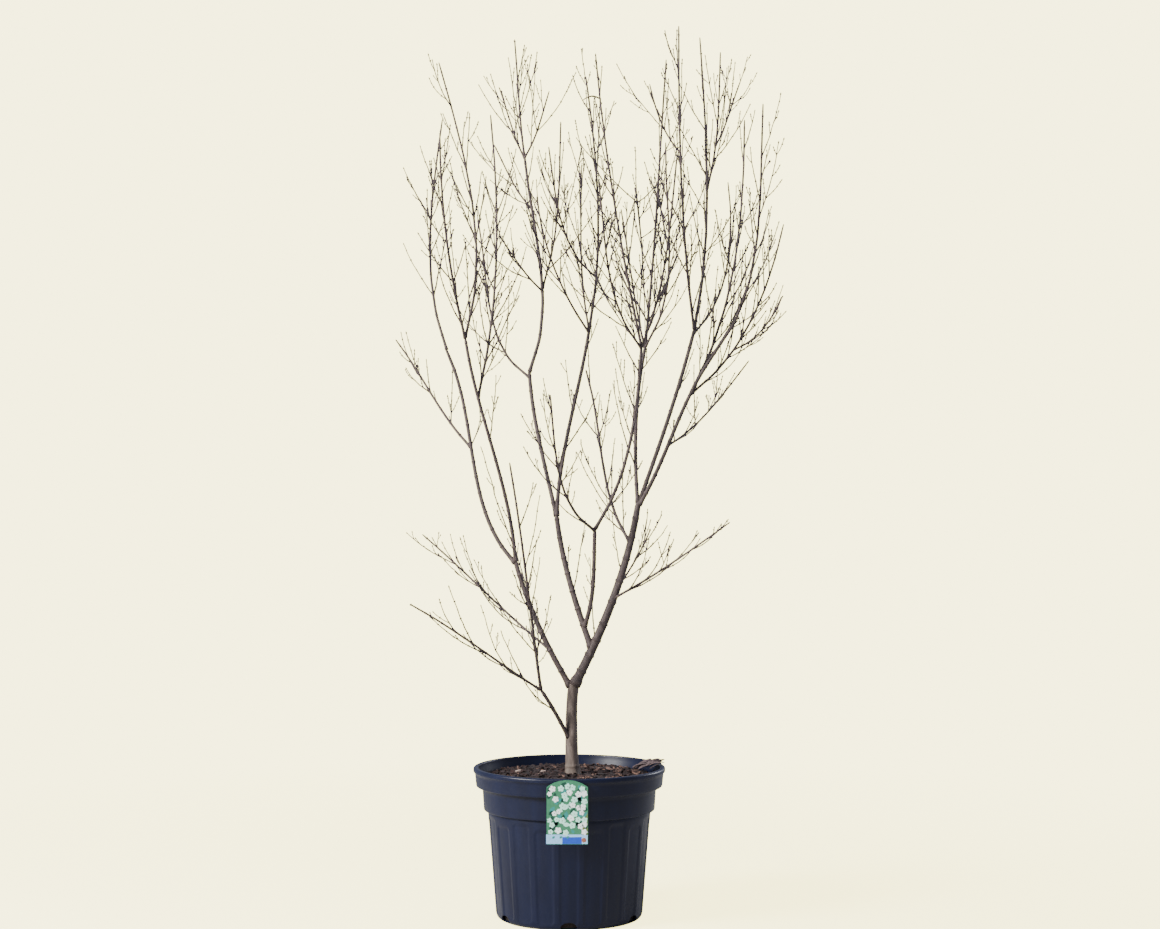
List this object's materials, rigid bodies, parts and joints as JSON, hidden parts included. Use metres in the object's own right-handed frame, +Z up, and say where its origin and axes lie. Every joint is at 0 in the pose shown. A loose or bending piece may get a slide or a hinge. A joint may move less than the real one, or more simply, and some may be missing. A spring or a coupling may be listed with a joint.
{
  "type": "potted kousa dogwood",
  "caption": "Young bare kousa dogwood in winter with a short trunk and many slender upright limbs, in a fluted nursery pot with a hanging plant tag.",
  "frame": {"origin": "middle of the pot's flat underside, on the surface it stands on", "axes": "+Z up the trunk, -Y towards the side that carries the plant tag"},
  "size_m": [0.7858, 0.6017, 1.7789],
  "materials": {
    "pot_plastic": "semi-matte moulded, dark navy",
    "bark_mulch": "loose chipped bark",
    "label_card": null,
    "curled_bark": "dry curled bark strips",
    "young_bark": "smooth young bark with fine relief"
  },
  "bodies": {
    "root": {"bark_heap": "curled_bark", "crown_left": "young_bark", "crown_left_long": "young_bark", "crown_main": "young_bark", "crown_thin": "young_bark", "fan_back_left": "young_bark", "fan_left_long": "young_bark", "fan_left_low": "young_bark", "fan_mid_left": "young_bark", "fan_mid_main": "young_bark", "fan_right": "young_bark", "fan_right_front": "young_bark", "inner_left": "young_bark", "inner_right": "young_bark", "left_far": "young_bark", "left_inner": "young_bark", "left_inner_top": "young_bark", "left_long_low": "young_bark", "left_mid_top": "young_bark", "left_outer": "young_bark", "left_outer_top": "young_bark", "left_second_top": "young_bark", "low_far_shoot": "young_bark", "low_limb": "young_bark", "low_upright": "young_bark", "mid_inner": "young_bark", "mid_left": "young_bark", "mid_left_fan": "young_bark", "mid_left_out": "young_bark", "mid_left_side": "young_bark", "mid_left_top": "young_bark", "mid_left_twig": "young_bark", "mid_left_upper": "young_bark", "mid_long": "young_bark", "mid_right_fan": "young_bark", "pot": "pot_plastic", "right_back": "young_bark", "right_crown_fork": "young_bark", "right_crown_main": "young_bark", "right_crown_outer": "young_bark", "right_far": "young_bark", "right_far_inner": "young_bark", "right_far_low": "young_bark", "right_far_main": "young_bark", "right_far_tip": "young_bark", "right_inner": "young_bark", "right_low_long": "young_bark", "right_low_short": "young_bark", "right_lowest": "young_bark", "right_mid": "young_bark", "right_outer": "young_bark", "right_outer_top": "young_bark", "right_top_side": "young_bark", "soil": "bark_mulch", "stem_inner": "young_bark", "stem_left": "young_bark", "stem_mid": "young_bark", "stem_right": "young_bark", "tag": "label_card", "trunk": "young_bark"}
  },
  "joints": []
}
